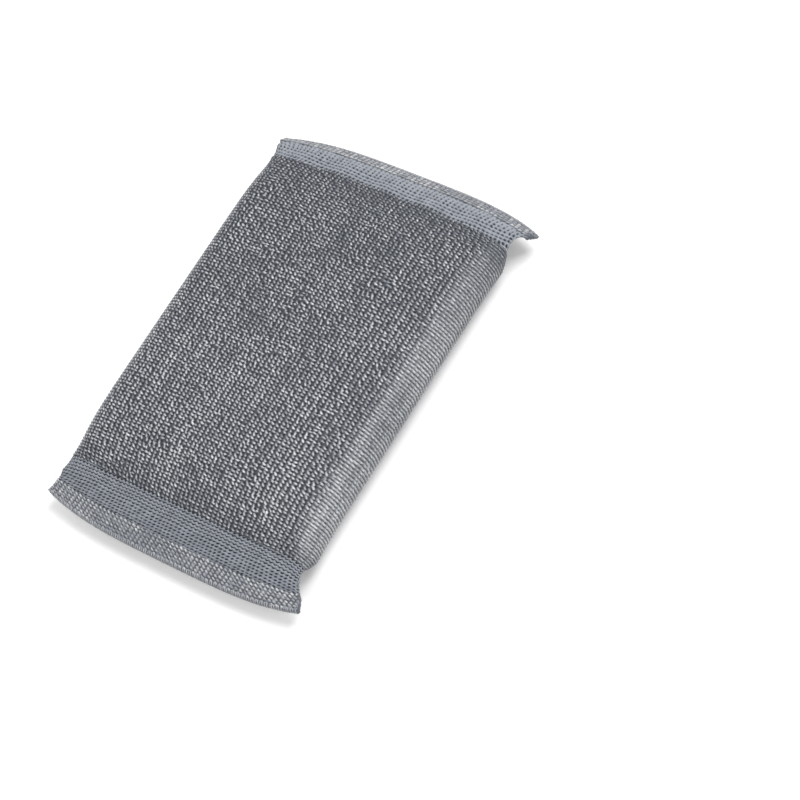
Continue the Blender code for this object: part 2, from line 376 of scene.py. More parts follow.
@dataclass
class PadForm:
    """The smooth form of the pad, with the same sizes as the solid sleeve."""

    half_length: float
    seam_width: float
    thickness: float
    body_width: float = 0.081
    edge_height: float = 0.0056
    top_taper: float = 0.035
    under_taper: float = 0.018
    taper_power: float = 3.0
    taper_fullness: float = 0.9
    crown: float = 0.0015
    plain_band: float = 0.0078
    band_step: float = 0.00025
    bow_reach: float = 0.030
    ear_reach: float = 0.0145
    ear_lift: float = 0.0013
    corner_power: float = 3.6
    pinch: float = 0.60
    pinch_reach: float = 0.013
    ear_fullness: float = 0.0018
    gather_pitch: float = 0.0145
    gather_height: float = 0.0004
    gather_reach: float = 0.009
    pressed_half: float = 0.0008
    middle_share: float = 0.98
    front: PadEnd = PadEnd(-1, 0.0035, 0.0048, 0.0081, 0.17, 0.00056, 0.00025, 0.40, 0.50)
    rear: PadEnd = PadEnd(1, 0.0045, 0.0040, 0.0102, 0.12, 0.00056, 0.00030, 0.75, 0.20)

    @classmethod
    def from_frame(cls) -> "PadForm":
        """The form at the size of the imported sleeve."""
        low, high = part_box("knitted_sleeve")
        return cls(half_length=high.y, seam_width=high.x - low.x, thickness=high.z)

    def end_values(self, rear: Points, name: str) -> Points:
        """One size of the pad's ends at each row, which is at the rear or not."""
        return np.where(rear, getattr(self.rear, name), getattr(self.front, name))

    def fade(self, depth: Points, reach: Points) -> Points:
        """1 at the cut edge, falling smoothly to 0 at this reach."""
        return (1.0 - np.clip(depth / reach, 0.0, 1.0)) ** 2

    def rise(self, past_seam: Points, taper: float) -> Points:
        """Share of the body's full height this far past the needle line."""
        run = np.clip(past_seam / taper, 0.0, 1.0)
        return (1.0 - (1.0 - run) ** self.taper_power) ** self.taper_fullness

    def section(self, rear: Points, depth: Points) -> Section:
        """Sizes of the cross-section.

        Args:
            rear: Whether each row belongs to the rear end.
            depth: Depth of each row from the cut edge.

        Returns:
            The section at each row.
        """
        seam = self.end_values(rear, "seam_depth")
        needle = self.end_values(rear, "needle_height")
        middle = self.edge_height + (needle - self.edge_height) * np.minimum(depth / seam, 1.0)
        top = middle + self.pressed_half
        under = middle - self.pressed_half
        top = top + (self.thickness - top) * self.rise(depth - seam, self.top_taper)
        under = under * (1.0 - self.rise(depth - seam, self.under_taper))
        ears = self.fade(depth, np.full_like(depth, self.ear_reach))
        half = self.body_width / 2 + (self.seam_width - self.body_width) / 2 * ears
        crown = self.crown * (top - under) / self.thickness
        roll = (top - crown - under) / 2
        return Section(top, under, half, crown, roll, half - roll)

    def gather(self, x: Points, past_seam: Points) -> Points:
        """Height of the soft gathers on the top beside the needle line."""
        share = np.clip(past_seam / self.gather_reach, 0.0, 1.0)
        return self.gather_height * 4.0 * share * (1.0 - share) * np.cos(2 * np.pi * x / self.gather_pitch)

    def face_height(self, x: Points, rear: Points, depth: Points, layer: Layer) -> Points:
        """Height of the top or the underside at a place across it, before its corners lift."""
        section = self.section(rear, depth)
        if layer is Layer.UNDER:
            return section.under + self.corner_rise(section, rear, depth) * (x / section.half) ** 4
        past = depth - self.end_values(rear, "seam_depth")
        return section.top - section.crown * (x / section.half) ** 2 + self.gather(x, past)

    def corner_rise(self, section: Section, rear: Points, depth: Points) -> Points:
        """How far the underside is drawn up at the folds past the seam, less the fullness of the ears."""
        seam = self.end_values(rear, "seam_depth")
        drawn = np.clip((depth - seam) / self.pinch_reach, 0.0, 1.0)
        pinch = self.pinch * 3.5 * np.sqrt(drawn) * (1.0 - drawn) ** 2
        ear = np.clip(depth / (1.7 * seam), 0.0, 1.0)
        return pinch * (section.top - section.under) - self.ear_fullness * 4.0 * ear * (1.0 - ear)

    def outline(self, rear: Points, depth: Points, layer: Layer, columns: int) -> tuple[Points, Points]:
        """Half of each row's section, from its left fold over one face to its right fold.

        Args:
            rear: Whether each row belongs to the rear end.
            depth: Depth of each row from the cut edge.
            layer: The face that the outline runs over.
            columns: Number of points, which stand wider apart over the stretched folds.

        Returns:
            The points' x and z, one row for each depth.
        """
        section = self.section(rear, depth)
        past = depth - self.end_values(rear, "seam_depth")
        side_top = section.top - section.crown * (section.face_half / section.half) ** 2
        side_top = side_top + self.gather(section.face_half, past)
        rise = self.corner_rise(section, rear, depth)
        centre = (side_top + section.under + rise) / 2
        reach = (side_top - section.under - rise) / 2
        angle = np.linspace(0.0, np.pi / 2, 24)
        face = np.linspace(-1.0, 1.0, 90)[1:-1]
        roll_x = section.face_half[:, None] + section.roll[:, None] * np.cos(angle)
        roll_z = centre[:, None] + layer.value * reach[:, None] * np.sin(angle)
        face_x = section.face_half[:, None] * face
        if layer is Layer.TOP:
            bend = section.crown[:, None] * (face_x / section.half[:, None]) ** 2
            face_z = section.top[:, None] - bend + self.gather(face_x, past[:, None])
        else:
            face_z = section.under[:, None] + rise[:, None] * face**4
        x = np.concatenate([-roll_x, face_x, roll_x[:, ::-1]], axis=1)
        z = np.concatenate([roll_z, face_z, roll_z[:, ::-1]], axis=1)
        step = np.hypot(np.diff(x), np.diff(z))
        run = np.concatenate([np.zeros((len(x), 1)), np.cumsum(step, axis=1)], axis=1)
        even = np.linspace(0.0, 1.0, columns)
        stretch = 1.0 - self.middle_share * self.seam_width / run[:, -1]
        shares = even + stretch[:, None] * np.sin(2 * np.pi * even) / (2 * np.pi)
        spaced_x = np.array([np.interp(s * r[-1], r, row) for s, r, row in zip(shares, run, x)])
        spaced_z = np.array([np.interp(s * r[-1], r, row) for s, r, row in zip(shares, run, z)])
        return spaced_x, spaced_z

    def rings(self, rear: Points, depth: Points, top: int, under: int) -> tuple[Points, Points]:
        """Whole sections as x and z, with this many steps over the top and back along the underside."""
        top_x, top_z = self.outline(rear, depth, Layer.TOP, top + 1)
        under_x, under_z = self.outline(rear, depth, Layer.UNDER, under + 1)
        x = np.concatenate([top_x[:, :-1], under_x[:, :0:-1]], axis=1)
        z = np.concatenate([top_z[:, :-1], under_z[:, :0:-1]], axis=1)
        return x, z

    def bow_at(self, x: Points, rear: Points, depth: Points) -> Points:
        """How far a point is drawn inwards because the end's middle bows out."""
        corner = np.abs(2 * x / self.seam_width) ** self.corner_power
        return self.end_values(rear, "bow") * corner * self.fade(depth, np.full_like(depth, self.bow_reach))

    def placed(self, x: Points, z: Points, rear: Points, depth: Points) -> Points:
        """World points of the sections' points, with the ends bowed and their corners lifted."""
        corner = np.abs(2 * x / self.seam_width) ** self.corner_power
        side = np.where(rear, 1.0, -1.0)
        reach = self.end_values(rear, "seam_depth") + self.plain_band
        y = side * (self.half_length - depth - self.bow_at(x, rear, depth))
        lifted = z + self.ear_lift * corner * self.fade(depth, reach)
        return np.stack(np.broadcast_arrays(x, y, lifted), axis=-1)


def ring_faces(rows: int, ring: int) -> Points:
    """Quads of a tube of this many rings, with as many points in each."""
    row, column = np.meshgrid(np.arange(rows - 1), np.arange(ring), indexing="ij")
    after = (column + 1) % ring
    faces = [row * ring + column, row * ring + after, (row + 1) * ring + after, (row + 1) * ring + column]
    return np.stack(faces, axis=-1).reshape(-1, 4)


@dataclass
class Swelling:
    """Cloth simulation of the filled sleeve: how the fabric settles between its two pressed seams."""

    form: PadForm
    rows: int = 90
    top_columns: int = 60
    under_columns: int = 40
    frames: int = 20
    pressure: float = 4.0
    growth: float = 0.012
    held_past_seam: float = 0.0010
    farthest: float = 0.0012
    deepest: float = 0.0005
    eased_past_seam: float = 0.0060

    def places(self) -> Points:
        """Places of the simulated rows along the pad."""
        full = 2 * self.form.half_length
        return full * (0.5 - 0.5 * np.cos(np.linspace(0.0, np.pi, self.rows)))

    def settled(self) -> Points:
        """How far each point of the simulated sleeve moves, in metres, against its own average."""
        form = self.form
        full = 2 * form.half_length
        place = self.places()
        rear = place > form.half_length
        depth = np.where(rear, full - place, place)
        x, z = form.rings(rear, depth, self.top_columns, self.under_columns)
        start = form.placed(x, z, rear[:, None], depth[:, None])
        ring = x.shape[1]
        cloth = mesh_object("filled_sleeve", start.reshape(-1, 3), ring_faces(self.rows, ring))
        past = depth - form.end_values(rear, "seam_depth")
        pinned = np.repeat(past < self.held_past_seam, ring)
        moved = self.simulate(cloth, pinned).reshape(start.shape) - start
        length = np.linalg.norm(moved, axis=-1, keepdims=True)
        moved *= self.farthest / np.maximum(length, self.farthest)
        normal = surface_normals(start)
        swell = (moved * normal).sum(axis=-1)
        swell = np.clip(swell - np.median(swell[past > form.top_taper]), -self.deepest, self.deepest)
        LOG.info("cloth: moved up to %.2f mm, swells by %.2f mm", length.max() * 1000, np.ptp(swell) * 1000)
        swell *= smooth(past / self.eased_past_seam)[:, None]
        rests = np.arange(ring) >= self.top_columns
        return np.where(rests, np.minimum(swell, 0.0), swell)

    def simulate(self, cloth: bpy.types.Object, pinned: Points) -> Points:
        """Run the cloth with its seams held, and give its points at the last step.

        Args:
            cloth: The sleeve to fill, which is removed afterwards.
            pinned: Whether each of its points is held.

        Returns:
            The points where the cloth has settled.
        """
        group = cloth.vertex_groups.new(name="held")
        group.add([int(index) for index in np.flatnonzero(pinned)], 1.0, "REPLACE")
        modifier = cloth.modifiers.new("cloth", "CLOTH")
        settings = modifier.settings
        settings.quality = 5
        settings.vertex_group_mass = "held"
        settings.use_pressure = True
        settings.uniform_pressure_force = self.pressure
        settings.shrink_min = -self.growth
        settings.effector_weights.gravity = 0.0
        modifier.point_cache.frame_end = self.frames
        scene = bpy.context.scene
        for number in range(1, self.frames + 1):
            scene.frame_set(number)
        result = cloth.evaluated_get(bpy.context.evaluated_depsgraph_get())
        points = np.zeros(len(result.data.vertices) * 3, np.float32)
        result.data.vertices.foreach_get("co", points)
        scene.frame_set(1)
        bpy.data.objects.remove(cloth, do_unlink=True)
        return points.astype(float)

    def over(self, place: Points, share: Points, under: Points) -> Points:
        """The settled shape over a finer grid.

        Args:
            place: Place of each row along the pad.
            share: Place of each column over its own face, from 0 to 1.
            under: Whether each column is on the underside.

        Returns:
            How far each point of that grid moves outwards.
        """
        swell = self.settled()
        row = np.interp(place, self.places(), np.arange(self.rows))[:, None]
        column = np.where(under, self.top_columns + share * self.under_columns, share * self.top_columns)
        low_row = np.minimum(row.astype(int), self.rows - 2)
        low_column = column.astype(int)
        ring = swell.shape[1]
        up = row - low_row
        right = column - low_column
        near = swell[low_row, low_column % ring] * (1 - right) + swell[low_row, (low_column + 1) % ring] * right
        after = low_row + 1
        far = swell[after, low_column % ring] * (1 - right) + swell[after, (low_column + 1) % ring] * right
        return near * (1 - up) + far * up


def surface_normals(points: Points) -> Points:
    """The outward direction at each point of a grid that closes round the pad."""
    around = np.roll(points, -1, axis=1) - np.roll(points, 1, axis=1)
    along = np.gradient(points, axis=0)
    normal = np.cross(around, along)
    return normal / np.maximum(np.linalg.norm(normal, axis=-1, keepdims=True), 1e-12)


class Zone(Enum):
    """The kinds of knit along the sleeve."""

    FLANGE = 0
    BAND = 1
    METAL = 2


@dataclass
class Relief:
    """What the stitches do to the grid: their height in metres, and the marks that the finishes read."""

    height: Points
    yarn: Points
    glint: Points


@dataclass(frozen=True)
class KnitGauge:
    """One kind of knit: its stitches' sizes in metres, and how much they differ from each other."""

    wale: float
    course: float
    proud: float
    sunk: float
    stray: float
    sway: float
    size_spread: float
    shine: float
    shine_spread: float


METAL_GAUGE = KnitGauge(0.00140, 0.00100, 0.00022, 0.00034, 0.085, 0.26, 0.11, 0.65, 0.13)
BAND_GAUGE = KnitGauge(0.00143, 0.00080, 0.00008, 0.00040, 0.040, 0.08, 0.10, 0.50, 0.14)
FLANGE_GAUGE = KnitGauge(0.00143, 0.00090, 0.00006, 0.00016, 0.110, 0.30, 0.20, 0.30, 0.16)


@dataclass
class Stitch:
    """One of the stitches near each point of the grid: how far away it is, and its own differences."""

    across: Points
    along: Points
    turn: Points
    size: Points
    shine: Points


class StitchField:
    """Every stitch of one kind of knit, each with its own shift, turn, size and brightness."""

    def __init__(
        self, gauge: KnitGauge, wale: Points, course: Points, ring: int, rng: np.random.Generator
    ) -> None:
        """Draw each stitch's differences for the part of the knit that these places cover.

        Args:
            gauge: The kind of knit.
            wale: Places round the pad, in stitches.
            course: Places along the pad, in stitches.
            ring: Stitches round the whole pad.
            rng: The seeded source of the differences.
        """
        self.gauge = gauge
        self.wale = wale
        self.course = course
        self.ring = ring
        self.column = np.floor(wale).astype(int)
        self.row = np.floor(course).astype(int)
        self.low = int(self.row.min()) - 1
        shape = (int(self.row.max()) - self.low + 2, ring)
        self.shift_across = rng.normal(0.0, gauge.stray, shape)
        self.shift_along = rng.normal(0.0, gauge.stray, shape)
        self.turn = rng.normal(0.0, gauge.sway, shape)
        self.size = np.clip(1.0 + rng.normal(0.0, gauge.size_spread, shape), 0.6, 1.4)
        self.shine = np.clip(gauge.shine + rng.normal(0.0, gauge.shine_spread, shape), 0.0, 1.0)

    def near(self, unrest: Union[Points, float] = 1.0) -> Iterator[Stitch]:
        """The nine stitches round each point, which stray by this factor."""
        for step_along in (-1, 0, 1):
            j = self.row + step_along - self.low
            for step_across in (-1, 0, 1):
                i = (self.column + step_across) % self.ring
                across = self.wale - self.column - step_across - 0.5 - self.shift_across[j, i] * unrest
                along = self.course - self.row - step_along - 0.5 - self.shift_along[j, i] * unrest
                across = across * self.gauge.wale
                along = along * self.gauge.course
                yield Stitch(across, along, self.turn[j, i] * unrest, self.size[j, i], self.shine[j, i])


@dataclass
class Sleeve:
    """The knitted sleeve as one grid, which runs round the pad in its columns and along it in its rows."""

    form: PadForm
    wales: int = 61
    top_columns: int = 7
    under_columns: int = 3
    flange_courses: tuple[int, int] = (5, 4)
    band_courses: tuple[int, int] = (11, 7)
    metal_courses: int = 105
    flange_rows: int = 7
    band_rows: int = 7
    metal_rows: int = 4
    edge_rows: int = 4
    edge_bulge: float = 0.0003
    seed: int = 11

    def __post_init__(self) -> None:
        """Lay out the rows and columns, raise the stitches, and place every point."""
        self.rng = np.random.default_rng(self.seed)
        self.lay_rows()
        self.lay_columns()
        self.base = self.base_points()
        outward = surface_normals(self.base)
        self.fold = smooth((np.abs(outward[..., 0]) - 0.30) / 0.55)
        self.relief = self.raise_stitches()
        self.points = self.base + outward * self.relief.height[..., None]
        self.normals = surface_normals(self.points)

    def lay_rows(self) -> None:
        """Space the rows evenly along the top, course by course, from the front edge to the rear edge."""
        form = self.form
        full = 2 * form.half_length
        front, rear = form.front, form.rear
        stops = [0.0, front.seam_depth, front.seam_depth + form.plain_band]
        stops += [full - rear.seam_depth - form.plain_band, full - rear.seam_depth, full]
        zones = [Zone.FLANGE, Zone.BAND, Zone.METAL, Zone.BAND, Zone.FLANGE]
        courses = [self.flange_courses[0], self.band_courses[0], self.metal_courses]
        courses += [self.band_courses[1], self.flange_courses[1]]
        densities = [self.flange_rows, self.band_rows, self.metal_rows, self.band_rows, self.flange_rows]
        run = np.linspace(0.0, full, 4000)
        is_rear = run > form.half_length
        height = form.section(is_rear, np.where(is_rear, full - run, run)).top
        length = np.concatenate([[0.0], np.cumsum(np.hypot(np.diff(run), np.diff(height)))])
        places, course, zone, counted = [], [], [], 0
        for index, kind in enumerate(zones):
            steps = courses[index] * densities[index]
            ends = np.interp(stops[index : index + 2], run, length)
            spaced = np.interp(np.linspace(ends[0], ends[1], steps + 1), length, run)
            last = steps + 1 if index == len(zones) - 1 else steps
            places.extend(spaced[:last])
            course.extend(counted + np.arange(last) / densities[index])
            zone.extend([kind.value] * last)
            counted += courses[index]
        self.row_place = np.array(places)
        self.row_rear = self.row_place > form.half_length
        self.row_depth = np.where(self.row_rear, full - self.row_place, self.row_place)
        self.row_past = self.row_depth - form.end_values(self.row_rear, "seam_depth")
        self.row_course = np.array(course)
        self.row_zone = np.array(zone)

    def lay_columns(self) -> None:
        """Number the columns round the ring in wales: over the top to the right, and back underneath."""
        self.top_count = self.wales * self.top_columns
        self.under_count = self.wales * self.under_columns
        top = np.arange(self.top_count) / self.top_columns
        under = self.wales + np.arange(self.under_count) / self.under_columns
        self.column_wale = np.concatenate([top, under])
        self.is_under = np.arange(len(self.column_wale)) >= self.top_count

    def base_points(self) -> Points:
        """The settled sleeve's smooth surface at each row and column."""
        form = self.form
        x, z = form.rings(self.row_rear, self.row_depth, self.top_count, self.under_count)
        self.ring_x = x
        base = form.placed(x, z, self.row_rear[:, None], self.row_depth[:, None])
        share = (self.column_wale % self.wales) / self.wales
        swell = Swelling(form).over(self.row_place, share, self.is_under)
        return base + surface_normals(base) * swell[..., None]

    def raise_stitches(self) -> Relief:
        """The relief of the whole grid, with each kind of knit in its own rows."""
        wale, course = np.meshgrid(self.column_wale, self.row_course)
        zone = self.row_zone[:, None] + 0 * wale.astype(int)
        straight = self.straight_course(course)
        parts = {
            Zone.METAL: self.metal_relief(wale, course),
            Zone.BAND: self.band_relief(wale, straight),
            Zone.FLANGE: self.flange_relief(wale, straight),
        }
        chosen = [zone == kind.value for kind in parts]
        relief = Relief(
            height=np.select(chosen, [part.height for part in parts.values()]),
            yarn=np.select(chosen, [part.yarn for part in parts.values()]),
            glint=np.select(chosen, [part.glint for part in parts.values()]),
        )
        self.press_seams(relief)
        self.tone = self.tones(wale, course)
        return relief

    def straight_course(self, course: Points) -> Points:
        """Course numbers near the ends as the knit has them: straight across, where the seam is bowed."""
        form = self.form
        rear = self.row_rear[:, None]
        bow = form.bow_at(self.ring_x, rear, self.row_depth[:, None])
        pitch = form.plain_band / np.where(rear, self.band_courses[1], self.band_courses[0])
        return course + np.where(rear, -1.0, 1.0) * bow / pitch

    def metal_relief(self, wale: Points, course: Points) -> Relief:
        """Short slanted bumps of yarn, each with a painted highlight on its upper end and a small hole beside it,
        painted dark as shade.
        """
        long_half, short_half = 0.00076, 0.00029
        slant = -0.55 * (1 - 0.7 * self.fold)
        ring = 2 * self.wales
        patch = soft_noise(wale / 5.0, course / 6.0, self.rng)
        unrest = (0.9 + 0.6 * smooth((patch - 0.15) / 0.6)) * (1 - 0.3 * self.fold)
        drift = 0.14 * soft_noise(wale / 8.0, course / 10.0, self.rng)
        sway = 0.22 * soft_noise(wale / 7.0, course / 9.0, self.rng)
        field = StitchField(METAL_GAUGE, wale + drift, course + sway, ring, self.rng)
        hole_across, hole_along = 0.00042, 0.00034
        best = np.zeros_like(wale)
        hole = np.zeros_like(wale)
        glint = np.full_like(wale, 0.15)
        for stitch in field.near(unrest):
            turn = slant + stitch.turn
            long_way = (stitch.across * np.cos(turn) + stitch.along * np.sin(turn)) / (long_half * stitch.size)
            short_way = (stitch.along * np.cos(turn) - stitch.across * np.sin(turn)) / (short_half * stitch.size)
            body = 1.0 - long_way**2 - short_way**2
            # The ramp makes each bump lower, and so darker, towards its lower end: its shape, and painted shade.
            ramp = 0.60 + 0.40 * np.clip(long_way + 0.10, -1.0, 1.0)
            dome = np.sqrt(np.clip(body, 0.0, 1.0)) * ramp
            ahead = dome > best
            best = np.where(ahead, dome, best)
            # Painted highlight: each stitch's glint grows towards its upper end.
            glint = np.where(ahead, stitch.shine + 0.42 * long_way, glint)
            # The hole is a dent in the knit, painted dark as shade.
            away = np.hypot((stitch.across - hole_across) / 0.00046, (stitch.along - hole_along) / 0.00032)
            hole = np.maximum(hole, 1.0 - smooth((away / stitch.size - 0.35) / 0.70))
        ladder = self.ladders(wale + drift, course)
        # Painted shade: the glint falls where the bump is low.
        glint *= 0.24 + 0.98 * best
        # The ladders and holes lower the yarn mark, which sinks the surface and paints shade there.
        best = (0.26 + 0.74 * best) * (1 - 0.35 * ladder) * (1 - 0.95 * hole)
        # On the folds: painted shade between the ribs and painted highlight on them, and an even, higher glint
        # that paints light on the rolled sides, where the knit is smoother.
        rib = 0.5 + 0.5 * np.cos(2 * np.pi * (course + sway - 0.5))
        ribbed = 0.46 * self.fold
        yarn = best * (1 - ribbed) + ribbed * (0.30 + 0.62 * rib)
        glint = glint * (1 - ribbed) + ribbed * (0.64 + 0.12 * rib)
        height = -METAL_GAUGE.sunk + (METAL_GAUGE.sunk + METAL_GAUGE.proud) * yarn
        return Relief(height, yarn, np.clip(glint, 0.0, 1.0))

    def ladders(self, wale: Points, course: Points) -> Points:
        """Lines between some of the wales, from 0 to 1, which come and go along the pad: the knit sinks there and
        is painted dark as shade.
        """
        ring = 2 * self.wales
        strength = np.clip(self.rng.normal(0.35, 0.35, ring), 0.0, 1.0)
        nearest = np.rint(wale).astype(int) % ring
        wander = 0.5 + 0.5 * soft_noise(wale / 3.0, course / 22.0, self.rng)
        away = np.abs(wale - np.rint(wale))
        return strength[nearest] * wander * smooth(1.0 - away / 0.26)

    def band_relief(self, wale: Points, course: Points) -> Relief:
        """Smooth yarn with one slit at each stitch, painted dark as shade, which turns to a bent one beside the
        metal knit.
        """
        ring = 2 * self.wales
        rear = self.row_rear[:, None]
        form = self.form
        long_half, short_half, slant, chevron = (
            form.end_values(self.row_rear, name)[:, None]
            for name in ("slit_long", "slit_short", "slit_slant", "chevron")
        )
        lean = np.where(rear, -form.rear.lean, form.front.lean)
        leant = wale - lean * course
        field = StitchField(BAND_GAUGE, leant, course, ring, self.rng)
        near_metal = smooth((self.row_past[:, None] / form.plain_band - 0.28) / 0.32)
        outermost = smooth((self.row_past[:, None] / form.plain_band - 0.84) / 0.08)
        toward = np.where(rear, -1.0, 1.0)
        hole = np.zeros_like(wale)
        shine = np.full_like(wale, 0.5)
        closest = np.full_like(wale, 9.0)
        for stitch in field.near():
            turn = (slant * (1 - 0.75 * near_metal) + stitch.turn) * toward
            bend = 2 * chevron * BAND_GAUGE.course / BAND_GAUGE.wale
            along = stitch.along - toward * bend * near_metal * np.abs(stitch.across)
            long = long_half * stitch.size
            long_way = (stitch.across * np.cos(turn) + along * np.sin(turn)) / long
            wide = short_half * stitch.size * (1 - 0.15 * near_metal + 0.60 * outermost)
            short_way = (along * np.cos(turn) - stitch.across * np.sin(turn)) / wide
            far = np.sqrt(np.abs(long_way) ** 3 + short_way**2)
            hole = np.maximum(hole, 1.0 - smooth((far - 0.45) / 0.60))
            nearer = far < closest
            closest = np.where(nearer, far, closest)
            shine = np.where(nearer, stitch.shine, shine)
        beside_needle = np.where(rear, 0.55, 0.85)
        hole *= beside_needle + (1 - beside_needle) * smooth(self.row_past[:, None] / 0.0030)
        off_centre = 2 * np.abs(leant % 1.0 - 0.5)
        fold = np.cos(2 * np.pi * (course - toward * chevron * near_metal * off_centre))
        # Painted shade in the troughs of the folds beside the metal knit.
        crease_shade = np.where(rear, 0.20, 0.75) * near_metal * smooth((-fold - 0.15) / 0.75)
        yarn = 1.0 - np.maximum(hole, crease_shade)
        height = BAND_GAUGE.proud * fold * yarn - BAND_GAUGE.sunk * hole
        # The rear band is made lighter, most of all beside the needle line, and the crests of the folds get a
        # painted highlight.
        drawn = np.exp(-((self.row_past[:, None] / 0.0030) ** 2))
        shine += np.where(rear, 0.08 + 0.30 * drawn, 0.0) + (0.10 + 0.25 * near_metal) * fold
        return Relief(height, yarn, np.clip(shine, 0.0, 1.0))

    def flange_relief(self, wale: Points, course: Points) -> Relief:
        """Knit pressed by the seam: small crowded knots, mostly hidden by the threads."""
        ring = 2 * self.wales
        field = StitchField(FLANGE_GAUGE, wale - 0.25 * course, course, ring, self.rng)
        knot = np.zeros_like(wale)
        glint = np.full_like(wale, 0.2)
        for stitch in field.near():
            far = np.hypot(stitch.across / 0.00052, stitch.along / 0.00036) / stitch.size
            dome = np.sqrt(np.clip(1.0 - far**2, 0.0, 1.0))
            ahead = dome > knot
            knot = np.where(ahead, dome, knot)
            glint = np.where(ahead, stitch.shine, glint)
        height = -FLANGE_GAUGE.sunk + (FLANGE_GAUGE.sunk + FLANGE_GAUGE.proud) * knot
        # Painted shade: the yarn mark, and with it the colour, is darker between the knots.
        return Relief(height, 0.38 + 0.50 * knot, glint)

    def press_seams(self, relief: Relief) -> None:
        """Sink the needle line and the plain bands, paint shade into the needle line's groove, and hold the cut
        edge and the underside flat.
        """
        form = self.form
        past = self.row_past[:, None]
        scallop = 0.00020 * np.cos(2 * np.pi * self.ring_x / 0.0029)
        groove = np.exp(-(((past - 0.0001 + scallop) / 0.00035) ** 2))
        relief.height -= 0.00020 * groove
        # Painted shade in the groove.
        relief.yarn *= 1.0 - 0.30 * groove
        lowered = form.band_step * np.minimum(form.rise(past, form.under_taper) * 4.0, 1.0)
        relief.height -= np.where(self.row_zone[:, None] == Zone.BAND.value, lowered, 0.0)
        relief.height *= smooth(self.row_depth[:, None] / 0.0008)
        relief.height[:, self.is_under] -= 0.00018

    def tones(self, wale: Points, course: Points) -> Points:
        """Slow changes of brightness over the knit, from 0 to 1."""
        ring = 2 * self.wales
        broad = soft_noise(wale / 12.2, course / 9.0, self.rng, ring // 12)
        streak = soft_noise(wale / 1.0, course / 30.0, self.rng, ring)
        small = soft_noise(wale / 2.0, course / 2.5, self.rng, ring // 2)
        rearward = self.row_place[:, None] / (2 * self.form.half_length) - 0.5
        beside_band = np.exp(-(((self.row_past[:, None] - self.form.plain_band) / 0.0045) ** 2))
        # The metal knit is made darker towards the rear end and beside the bands.
        darkening = 0.45 * rearward + 0.30 * beside_band
        level = 0.48 - np.where(self.row_zone[:, None] == Zone.METAL.value, darkening, 0.0)
        return np.clip(level + 0.08 * broad + 0.18 * streak + 0.05 * small, 0.0, 1.0)

    def closed_edge(self, rear: bool) -> tuple[Points, Points]:
        """Rows that round off the cut edge, from the outermost one inwards.

        Args:
            rear: Whether the edge is the rear one.

        Returns:
            The rows' points and their normals.
        """
        row = -1 if rear else 0
        side = 1.0 if rear else -1.0
        form = self.form
        first, normal = self.points[row], self.normals[row]
        lift = form.ear_lift * np.abs(2 * first[:, 0] / form.seam_width) ** form.corner_power
        middle = form.edge_height + lift
        rows, normals = [], []
        for step in range(self.edge_rows, 0, -1):
            turn = np.pi / 2 * step / self.edge_rows
            moved = first.copy()
            moved[:, 1] += side * self.edge_bulge * np.sin(turn)
            moved[:, 2] = middle + (first[:, 2] - middle) * np.cos(turn)
            aim = normal * np.cos(turn) + np.array([0.0, side, 0.0]) * np.sin(turn)
            rows.append(moved)
            normals.append(aim / np.linalg.norm(aim, axis=1, keepdims=True))
        return np.array(rows), np.array(normals)

    def rows_of(self, zones: tuple[Zone, ...], rear: Optional[bool]) -> slice:
        """The rows of these zones at one end, or at both, with the row that the next piece starts with."""
        chosen = np.isin(self.row_zone, [zone.value for zone in zones])
        if rear is not None:
            chosen &= self.row_rear == rear
        found = np.flatnonzero(chosen)
        return slice(int(found[0]), min(int(found[-1]) + 2, len(self.row_zone)))


